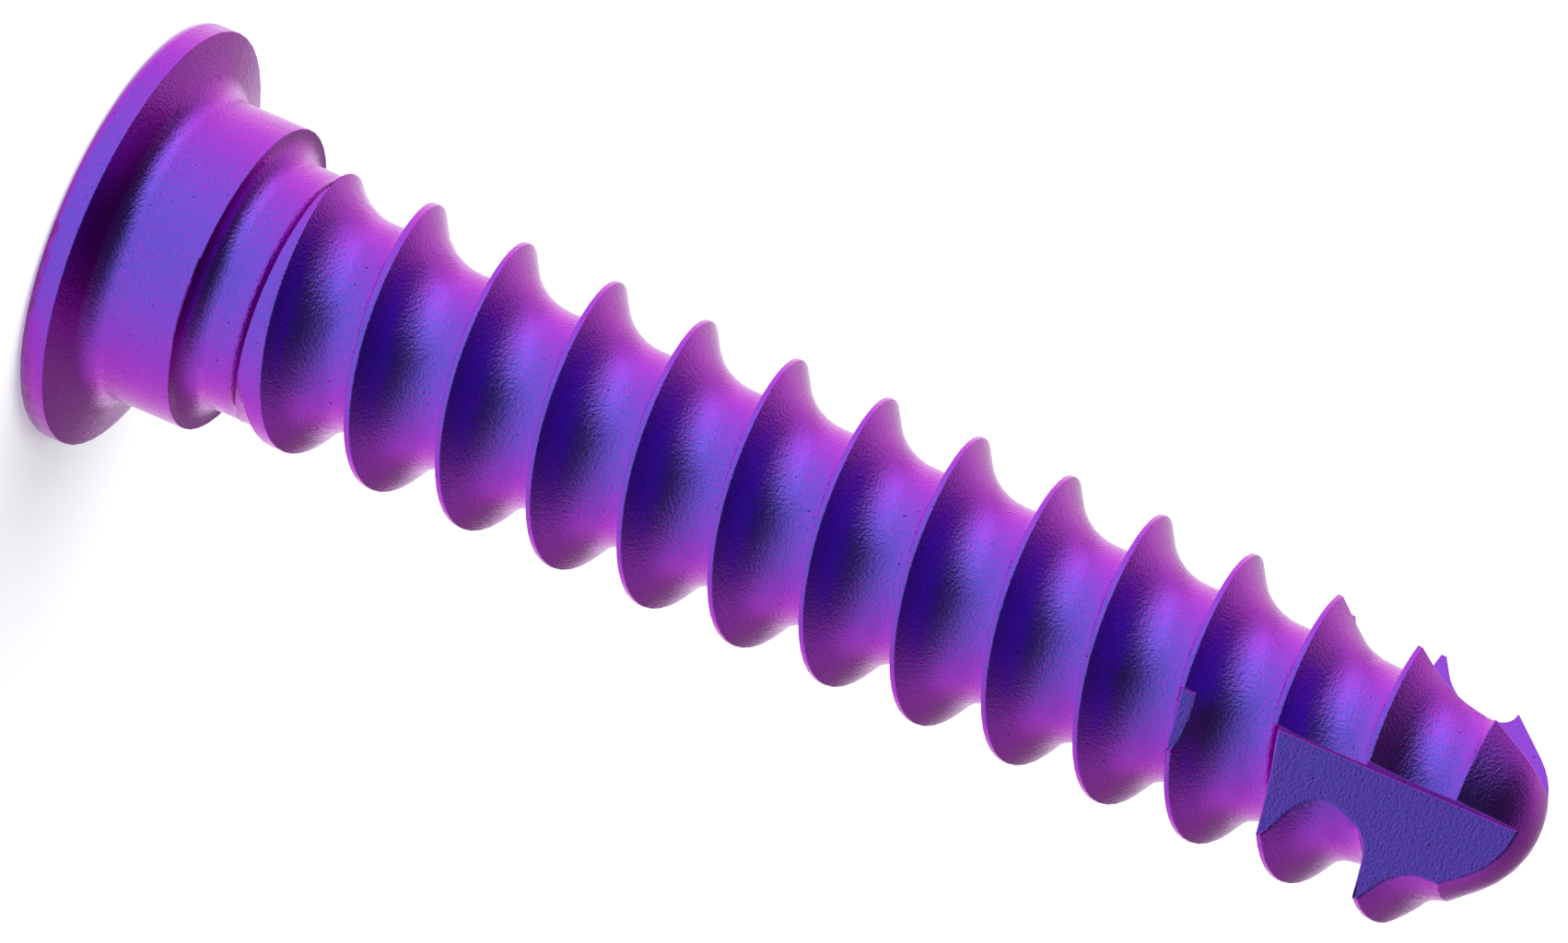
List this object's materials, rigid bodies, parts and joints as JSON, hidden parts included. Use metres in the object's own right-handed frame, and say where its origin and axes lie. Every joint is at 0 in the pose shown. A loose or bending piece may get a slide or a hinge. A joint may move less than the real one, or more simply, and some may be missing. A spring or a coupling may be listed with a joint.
{
  "type": "cortical bone screw",
  "caption": "Cortical bone screw with a low flanged head, plain neck, coarse buttress thread, self-tapping flutes and rounded tip.",
  "frame": {"origin": "centre of the head's flat top face, which is what the screw stands on", "axes": "+Z along the screw's axis from the head to the tip; -Y is the side that shows the cutting flute"},
  "size_m": [0.0054, 0.0054, 0.0194],
  "materials": {
    "anodised_titanium": "violet anodised titanium, fine blasted grain"
  },
  "bodies": {
    "root": {"bone_screw": "anodised_titanium"}
  },
  "joints": []
}
